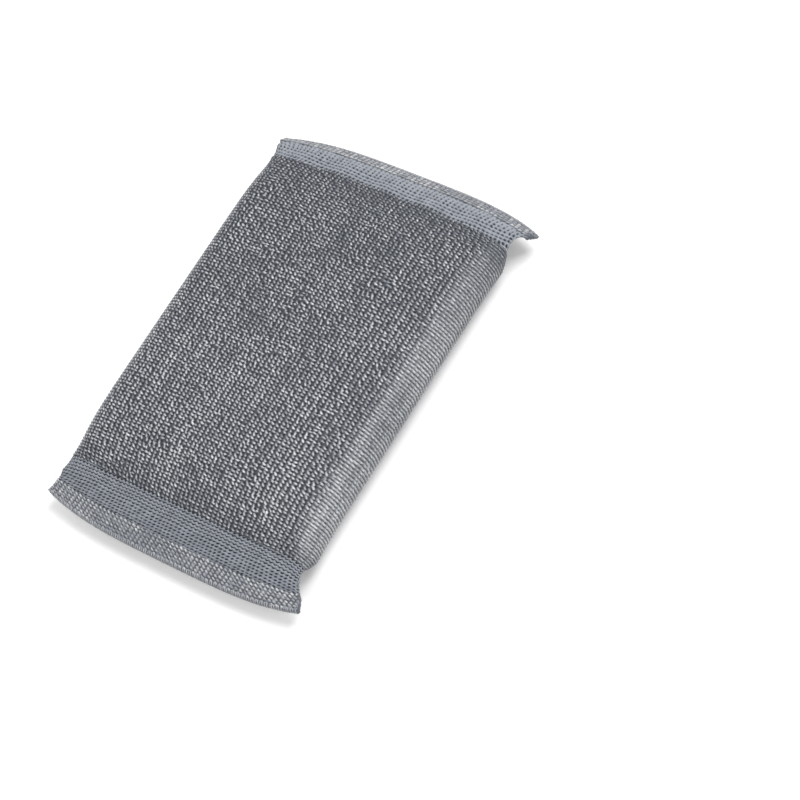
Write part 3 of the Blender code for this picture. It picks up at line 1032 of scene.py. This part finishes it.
@dataclass
class GridPatch:
    """A rectangle of the sleeve's grid that becomes one mesh."""

    sleeve: Sleeve
    rows: slice
    columns: Points
    edge_at: Optional[bool] = None

    def stack(self, field: Points, edge: Points) -> Points:
        """This patch's part of a field, with its cut edge's rows added."""
        body = field[self.rows][:, self.columns]
        if self.edge_at is None:
            return body
        if self.edge_at:
            return np.concatenate([body, edge[::-1]], axis=0)
        return np.concatenate([edge, body], axis=0)

    def mesh(self, name: str, material: bpy.types.Material) -> bpy.types.Object:
        """Build the patch as a mesh object with its marks, its UV layers and its smooth normals.

        Args:
            name: The object's name.
            material: Its finish.

        Returns:
            The object, in place.
        """
        sleeve = self.sleeve
        columns = self.columns
        if self.edge_at is None:
            edge_points = edge_normals = np.zeros((0, len(columns), 3))
        else:
            edge_points, edge_normals = (rows[:, columns] for rows in sleeve.closed_edge(self.edge_at))
        points = self.stack(sleeve.points, edge_points)
        normals = self.stack(sleeve.normals, edge_normals)
        blank = np.zeros(edge_points.shape[:2])
        height, width = points.shape[:2]
        wraps = len(np.unique(columns)) == len(sleeve.column_wale)
        across = np.arange(width) if wraps else np.arange(width - 1)
        row, column = np.meshgrid(np.arange(height - 1), across, indexing="ij")
        corner_row = np.stack([row, row, row + 1, row + 1], axis=-1).reshape(-1, 4)
        corner_column = np.stack([column, column + 1, column + 1, column], axis=-1).reshape(-1, 4)
        faces = corner_row * width + corner_column % width
        made = mesh_object(name, points.reshape(-1, 3), faces, material)
        marks = {"yarn": sleeve.relief.yarn, "glint": sleeve.relief.glint, "tone": sleeve.tone}
        for mark, field in marks.items():
            add_mark(made, mark, self.stack(field, blank + 0.4).ravel())
        add_uv(made, "OFBake", *self.bake_place(corner_row, corner_column, height, width, wraps))
        start = sleeve.row_course[self.rows][0]
        per_row = sleeve.band_rows if self.edge_at is not None else sleeve.metal_rows
        wale = np.append(sleeve.column_wale[columns], sleeve.column_wale[columns][-1] + 1 / sleeve.top_columns)
        add_uv(made, "Stitch", wale[corner_column].ravel(), start + corner_row.ravel() / per_row)
        made.data.normals_split_custom_set_from_vertices(normals.reshape(-1, 3))
        return made

    def bake_place(
        self, row: Points, column: Points, height: int, width: int, wraps: bool
    ) -> tuple[Points, Points]:
        """Even places for the patch's corners in a unit square, with the two faces of a ring in two strips."""
        margin = 0.01
        along = row.ravel() / (height - 1)
        if not wraps:
            return margin + (1 - 2 * margin) * column.ravel() / (width - 1), margin + (1 - 2 * margin) * along
        split = self.sleeve.top_count
        is_top = np.repeat(column[:, 0] < split, 4)
        flat = column.ravel()
        share = np.where(is_top, flat / split, (flat - split) / (width - split))
        strip = np.where(is_top, 0.5, 0.0)
        return margin + (1 - 2 * margin) * share, strip + margin / 2 + (0.5 - margin) * along


def mesh_object(
    name: str, points: Points, faces: Points, material: Optional[bpy.types.Material] = None
) -> bpy.types.Object:
    """Make a smooth mesh object from arrays.

    Args:
        name: The object's name.
        points: One row of three numbers for each point.
        faces: One row of four point numbers for each face.
        material: Its finish, if it is to be seen.

    Returns:
        The object, linked into the scene.
    """
    mesh = bpy.data.meshes.new(name)
    mesh.vertices.add(len(points))
    mesh.vertices.foreach_set("co", np.ascontiguousarray(points, np.float32).ravel())
    mesh.loops.add(faces.size)
    mesh.loops.foreach_set("vertex_index", np.ascontiguousarray(faces, np.int32).ravel())
    mesh.polygons.add(len(faces))
    mesh.polygons.foreach_set("loop_start", np.arange(0, faces.size, faces.shape[1], dtype=np.int32))
    mesh.update(calc_edges=True)
    mesh.validate()
    mesh.shade_smooth()
    if material:
        mesh.materials.append(material)
    made = bpy.data.objects.new(name, mesh)
    bpy.context.collection.objects.link(made)
    return made


def add_mark(piece: bpy.types.Object, name: str, marks: Points) -> None:
    """Give each point of a mesh one number under this name."""
    layer = piece.data.attributes.new(name, "FLOAT", "POINT")
    layer.data.foreach_set("value", np.ascontiguousarray(marks, np.float32))


def add_uv(piece: bpy.types.Object, name: str, u: Points, v: Points) -> None:
    """Give a mesh a UV layer with these places, one for each corner of its faces."""
    layer = piece.data.uv_layers.new(name=name)
    layer.uv.foreach_set("vector", np.ascontiguousarray(np.stack([u, v], axis=1), np.float32).ravel())


@dataclass
class ThreadSet:
    """Threads of one seam, gathered as tubes until they are made into one mesh."""

    sides: int = 5

    def __post_init__(self) -> None:
        """Start with no threads."""
        self.points: list[Points] = []
        self.faces: list[Points] = []
        self.marks: list[Points] = []
        self.places: list[Points] = []
        self.counted = 0

    def add(self, line: Points, radius: Points, glint: Points, yarn: Points, reference: Vector) -> None:
        """Add tubes of the same number of points.

        Args:
            line: Centre points, as threads by points by three.
            radius: Radius at each point of each thread.
            glint: Brightness at each point of each thread.
            yarn: How far each point stands out of the knit, from 0 to 1.
            reference: A direction that no thread runs along.
        """
        threads, count = line.shape[:2]
        along = np.gradient(line, axis=1)
        along /= np.linalg.norm(along, axis=-1, keepdims=True)
        side = np.cross(along, np.array(reference))
        side /= np.linalg.norm(side, axis=-1, keepdims=True)
        other = np.cross(side, along)
        turn = 2 * np.pi * np.arange(self.sides) / self.sides
        ring = side[:, :, None] * np.cos(turn)[:, None] + other[:, :, None] * np.sin(turn)[:, None]
        tube = line[:, :, None] + ring * radius[:, :, None, None]
        steps = (np.arange(threads), np.arange(count - 1), np.arange(self.sides))
        thread, ring_at, corner = np.meshgrid(*steps, indexing="ij")
        step_ring = np.stack([ring_at, ring_at, ring_at + 1, ring_at + 1], axis=-1)
        step_corner = np.stack([corner, corner + 1, corner + 1, corner], axis=-1)
        index = (thread[..., None] * count + step_ring) * self.sides + step_corner % self.sides
        self.points.append(tube.reshape(-1, 3))
        self.faces.append(index.reshape(-1, 4) + self.counted)
        spread = np.repeat(np.stack([glint, yarn], axis=-1)[:, :, None], self.sides, axis=2)
        self.marks.append(spread.reshape(-1, 2))
        u = step_corner / self.sides + 2 * thread[..., None] + self.counted / 97.0
        self.places.append(np.stack([u, 0.35 * step_ring + 0.0 * u], axis=-1).reshape(-1, 2))
        self.counted += threads * count * self.sides

    def mesh(self, name: str, material: bpy.types.Material) -> bpy.types.Object:
        """Make one mesh object of all the threads."""
        made = mesh_object(name, np.concatenate(self.points), np.concatenate(self.faces), material)
        marks = np.concatenate(self.marks)
        add_mark(made, "glint", marks[:, 0])
        add_mark(made, "yarn", marks[:, 1])
        places = np.concatenate(self.places)
        add_uv(made, "Stitch", places[:, 0], places[:, 1])
        return made


@dataclass
class OverlockSeam:
    """The overlocking of one end: rows of thread beads on the pressed flange, and the wraps of its edge."""

    form: PadForm
    end: PadEnd
    rows: int
    row_shift: float
    bead_pitch: float = 0.00150
    points_per_bead: int = 9
    first_row: float = 0.00040
    last_row_setback: float = 0.00035
    bead_radius: float = 0.00029
    bead_swing: float = 0.00022
    bead_sink: float = 0.00020
    wrap_pitch: float = 0.00070
    wrap_radius: float = 0.00017
    wrap_reach: float = 0.00032
    wrap_turn_in: float = 0.00055
    fibre_count: int = 90
    seed: int = 5

    def __post_init__(self) -> None:
        """Start the seam's own random source."""
        self.rng = np.random.default_rng(self.seed + self.end.side)
        self.rear = self.end.side > 0

    def on_face(self, x: Points, depth: Points, lift: Points, layer: Layer) -> Points:
        """World points above a face of the flange by these heights."""
        is_rear = np.full(depth.shape, self.rear)
        z = self.form.face_height(x, is_rear, depth, layer)
        return self.form.placed(x, z + layer.value * lift, is_rear, depth)

    def half_at(self, depth: float) -> float:
        """Half the width that the threads cover at this depth, just inside the folds."""
        section = self.form.section(np.array([self.rear]), np.array([depth]))
        return float(section.half[0]) - 0.0006

    def add_bead_rows(self, threads: ThreadSet, layer: Layer) -> None:
        """Run threads along the seam that rise out of the knit as one slanted bead at each stitch."""
        last_row = self.end.seam_depth - self.last_row_setback
        for number, depth in enumerate(np.linspace(self.first_row, last_row, self.rows)):
            half = self.half_at(depth)
            count = int(2 * half / self.bead_pitch) * self.points_per_bead
            x = np.linspace(-half, half, count)
            waver = self.rng.uniform(-0.05, 0.05)
            stitch = (x - self.row_shift * number) / self.bead_pitch + waver
            index = np.floor(stitch).astype(int) + count
            size = np.clip(1.0 + self.rng.normal(0.0, 0.14, 2 * count), 0.7, 1.3)[index]
            nudge = self.rng.normal(0.0, 0.00006, 2 * count)[index]
            wave = np.cos(2 * np.pi * (stitch % 1.0 - 0.5))
            tilt = np.sin(2 * np.pi * (stitch % 1.0 - 0.5))
            lift = self.bead_swing * wave * size - self.bead_sink
            # The patches stand for glints off the puckered flange: painted highlight. The speckle gives each bead
            # its own brightness.
            patch = soft_noise(x / 0.0062 + 40.0, np.full_like(x, number * 0.55 + 0.3), self.patches())
            speckle = self.rng.normal(0.0, 0.16, 2 * count)[index]
            bright = np.clip(0.28 + 0.26 * patch + speckle + 0.05 * number, 0.0, 1.0)
            radius = self.bead_radius * (0.80 + 0.20 * wave) * size
            line = self.on_face(x, depth + nudge - 0.00014 * tilt, lift, layer)
            # Painted shade between the beads, and painted highlight on their tops.
            yarn = 0.60 + 0.40 * wave
            glint = bright * (0.7 + 0.3 * wave)
            threads.add(line[None], radius[None], glint[None], yarn[None], Vector((0, 0, 1)))

    def patches(self) -> np.random.Generator:
        """The source of the painted glint patches, which is the same for each row so that they run on."""
        return np.random.default_rng(self.seed + 70 + self.end.side)

    def add_edge_wraps(self, threads: ThreadSet) -> None:
        """Wrap short threads round the cut edge, from one face to the other."""
        half = self.half_at(0.0) - 0.0004
        count = int(2 * half / self.wrap_pitch)
        x = np.linspace(-half, half, count)[:, None] + self.rng.normal(0.0, 0.00006, (count, 1))
        turn = np.linspace(-1.0, 1.0, 15)[None, :]
        round_edge = np.clip(turn / 0.55, -1.0, 1.0) * np.pi / 2
        inward = np.clip((np.abs(turn) - 0.55) / 0.45, 0.0, 1.0)
        depth = inward * self.wrap_turn_in - self.wrap_reach * np.cos(round_edge) + np.zeros((count, 1))
        x_here = x + 0.0003 * turn
        is_rear = np.full(depth.shape, self.rear)
        top = self.form.face_height(x_here, is_rear, depth, Layer.TOP)
        under = self.form.face_height(x_here, is_rear, depth, Layer.UNDER)
        lift = 0.00006 - 0.00026 * inward
        z = (top + under) / 2 - np.sin(round_edge) * ((top - under) / 2 + lift)
        line = self.form.placed(x_here, z, is_rear, depth)
        shine = np.clip(0.32 + self.rng.normal(0.0, 0.12, (count, 1)), 0.0, 1.0) + np.zeros(depth.shape)
        radius = self.wrap_radius * (1.0 + self.rng.normal(0.0, 0.10, (count, 1))) + np.zeros(depth.shape)
        # Painted shade where the wraps turn in under the edge: their yarn mark falls there.
        threads.add(line, radius, shine, 0.9 - 0.4 * inward + np.zeros(depth.shape), Vector((1, 0, 0)))

    def add_fibres(self, threads: ThreadSet) -> None:
        """Leave a few short loose fibres standing out of the cut edge."""
        half = self.half_at(0.0) - 0.0004
        count = self.fibre_count
        x = self.rng.uniform(-half, half, (count, 1))
        share = np.linspace(0.0, 1.0, 4)[None, :]
        length = self.rng.uniform(0.0002, 0.0006, (count, 1))
        tilt = self.rng.normal(0.0, 0.8, (count, 1))
        sway = self.rng.normal(0.0, 0.6, (count, 1))
        depth = -self.wrap_reach - length * share * np.cos(tilt)
        start = self.form.edge_height + self.rng.uniform(-0.0006, 0.0006, (count, 1))
        z = start + length * share * np.sin(tilt) * 0.7
        line = self.form.placed(x + length * share**2 * sway, z, np.full(z.shape, self.rear), depth)
        radius = 0.00004 * (1.0 - 0.6 * share) + np.zeros((count, 1))
        threads.add(line, radius, np.full(z.shape, 0.6), np.full(z.shape, 1.0), Vector((1, 0, 0.3)))

    def build(self, name: str, material: bpy.types.Material) -> bpy.types.Object:
        """Make the seam's threads as one mesh object."""
        threads = ThreadSet()
        self.add_bead_rows(threads, Layer.TOP)
        self.add_bead_rows(threads, Layer.UNDER)
        self.add_edge_wraps(threads)
        self.add_fibres(threads)
        return threads.mesh(name, material)


@dataclass
class FoamBlock:
    """The foam that fills the sleeve: it keeps the body's form just inside the knit."""

    form: PadForm
    inset: float = 0.0026
    setback: float = 0.0035
    rows: int = 60
    columns: int = 46

    def build(self, name: str, material: bpy.types.Material) -> bpy.types.Object:
        """Make the foam as one closed mesh object."""
        form = self.form
        full = 2 * form.half_length
        first = form.front.seam_depth + self.setback
        last = full - form.rear.seam_depth - self.setback
        place = first + (last - first) * (0.5 - 0.5 * np.cos(np.linspace(0.0, np.pi, self.rows)))
        rear = place > form.half_length
        depth = np.where(rear, full - place, place)
        x, z = form.rings(rear, depth, self.columns, self.columns)
        middle = z.mean(axis=1, keepdims=True)
        narrow = 1.0 - self.inset / np.abs(x).max(axis=1, keepdims=True)
        flat = 1.0 - 2 * self.inset / (z.max(axis=1, keepdims=True) - z.min(axis=1, keepdims=True))
        points = form.placed(x * narrow, middle + (z - middle) * flat, rear[:, None], depth[:, None])
        ring = x.shape[1]
        index = np.arange(1, ring // 2)
        front_cap = np.stack([index, index - 1, (ring - index + 1) % ring, ring - index], axis=-1)
        rear_cap = (self.rows - 1) * ring + front_cap[:, ::-1]
        faces = np.concatenate([ring_faces(self.rows, ring), front_cap, rear_cap])
        return mesh_object(name, points.reshape(-1, 3), faces, material)


@dataclass
class Studio:
    """The camera, the lamps, the white surroundings and the floor."""

    azimuth: float = 61.08
    elevation: float = 55.62
    roll: float = -32.83
    distance: float = 0.760
    pixel_focal: float = 2864.6
    picture: float = 800.0
    aim: tuple[float, float, float] = (0.0303, 0.0046, 0.0)
    even_level: float = 0.52
    floor_glow: Colour = grey(0.22)

    def camera(self) -> bpy.types.Object:
        """Place the camera at the photograph's viewpoint."""
        data = bpy.data.cameras.new("camera")
        data.sensor_width = 36.0
        data.lens = self.pixel_focal / self.picture * data.sensor_width
        made = bpy.data.objects.new("camera", data)
        turn, tilt, roll = (np.radians(angle) for angle in (self.azimuth, self.elevation, self.roll))
        back = Vector((np.sin(turn) * np.cos(tilt), -np.cos(turn) * np.cos(tilt), np.sin(tilt)))
        right = Vector((np.cos(turn), np.sin(turn), 0.0))
        up = back.cross(right)
        across = np.cos(roll) * right + np.sin(roll) * up
        upward = -np.sin(roll) * right + np.cos(roll) * up
        placed = Matrix((across, upward, back)).transposed().to_4x4()
        placed.translation = Vector(self.aim) + self.distance * back
        made.matrix_world = placed
        bpy.context.collection.objects.link(made)
        bpy.context.scene.camera = made
        return made

    def lamp(self, name: str, place: tuple[float, float, float], size: float, power: float) -> bpy.types.Object:
        """Hang one square soft lamp that faces the pad."""
        data = bpy.data.lights.new(name, "AREA")
        data.energy = power
        data.size = size
        made = bpy.data.objects.new(name, data)
        made.location = place
        made.rotation_euler = (-Vector(place)).to_track_quat("-Z", "Y").to_euler()
        bpy.context.collection.objects.link(made)
        return made

    def surroundings(self) -> None:
        """White to the camera and in reflections, and a plain even light for everything else."""
        world = bpy.data.worlds.new("surroundings")
        bpy.context.scene.world = world
        world.use_nodes = True
        sheet = NodeSheet(world.node_tree)
        white = grey(1.0)
        shown = sheet.node("ShaderNodeBackground", {}, {"Color": white, "Strength": 1.0})
        even = sheet.node("ShaderNodeBackground", {}, {"Color": white, "Strength": self.even_level})
        choice = sheet.node("ShaderNodeMixShader", {}, {0: sheet.seen(), 1: even.outputs[0], 2: shown.outputs[0]})
        sheet.node("ShaderNodeOutputWorld", {}, {"Surface": choice.outputs[0]})

    def floor(self) -> bpy.types.Object:
        """Lay a plain pale floor that keeps the pad's shadow."""
        sheet = FinishSheet("floor")
        material = sheet.finish(
            Base_Color=grey(0.90),
            Roughness=1.0,
            Specular_IOR_Level=0.0,
            Emission_Color=sheet.blend(sheet.seen(), grey(0.0), self.floor_glow),
            Emission_Strength=1.0,
        )
        half = 3.0
        corners = np.array([[-half, -half, 0.0], [half, -half, 0.0], [half, half, 0.0], [-half, half, 0.0]])
        made = mesh_object("floor", corners, np.array([[0, 1, 2, 3]]), material)
        return made

    def build(self) -> None:
        """Set up everything around the pad."""
        self.camera()
        self.lamp("lamp_key", (0.48, 0.45, 1.15), 0.6, 12.5)
        self.lamp("lamp_fill", (-0.20, -0.70, 1.00), 0.9, 3.0)
        self.surroundings()
        self.floor()
        bpy.context.scene.view_settings.view_transform = "Standard"


@dataclass
class ScouringPad:
    """The whole pad: its sleeve in five pieces, its two seams and its foam."""

    form: PadForm

    def build(self) -> list[bpy.types.Object]:
        """Make every piece, ride each on the pad's root, and hide the solid that it stands in for."""
        metal = MetalKnit().material()
        plain = PlainYarn().material()
        thread = SeamThread().material()
        sleeve = Sleeve(self.form)
        LOG.info("sleeve grid: %d rows, %d columns", len(sleeve.row_course), len(sleeve.column_wale))
        middle = (sleeve.wales // 2) * sleeve.top_columns
        ring = len(sleeve.column_wale)
        metal_rows = sleeve.rows_of((Zone.METAL,), None)
        front_rows = sleeve.rows_of((Zone.FLANGE, Zone.BAND), False)
        rear_rows = sleeve.rows_of((Zone.FLANGE, Zone.BAND), True)
        under = np.append(np.arange(sleeve.top_count, ring), 0)
        left = np.arange(0, middle + 1)
        right = np.arange(middle, sleeve.top_count + 1)
        patches = {
            "metal_knit_top_left": (GridPatch(sleeve, metal_rows, left), metal),
            "metal_knit_top_right": (GridPatch(sleeve, metal_rows, right), metal),
            "metal_knit_under": (GridPatch(sleeve, metal_rows, under), metal),
            "plain_band_front": (GridPatch(sleeve, front_rows, np.arange(ring), False), plain),
            "plain_band_rear": (GridPatch(sleeve, rear_rows, np.arange(ring), True), plain),
        }
        pieces = []
        for name, (patch, material) in patches.items():
            piece = patch.mesh(name, material)
            self.join_pad(piece, "knitted_sleeve")
            pieces.append(piece)
        foam = FoamBlock(self.form).build("foam_block", SoftFoam().material())
        self.join_pad(foam, "foam_core")
        pieces.append(foam)
        seams = {"front": (self.form.front, 6, 0.00030), "rear": (self.form.rear, 4, 0.00050)}
        for place, (end, rows, shift) in seams.items():
            seam = OverlockSeam(self.form, end, rows, shift).build(f"overlock_threads_{place}", thread)
            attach(seam, "root")
            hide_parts(f"overlock_seam_{place}")
            pieces.append(seam)
        return pieces

    def join_pad(self, piece: bpy.types.Object, node: str) -> None:
        """Ride a padded piece on the pad, in place of a solid."""
        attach(piece, "root")
        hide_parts(node)


def main() -> None:
    """Build the pad and its surroundings, and log the faces of each piece."""
    logging.basicConfig(level=logging.INFO, format="%(name)s: %(message)s")
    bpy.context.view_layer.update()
    pieces = ScouringPad(PadForm.from_frame()).build()
    for piece in pieces:
        LOG.info("%s: %d faces", piece.name, len(piece.data.polygons))
    Studio().build()


if __name__ == "__main__":
    main()
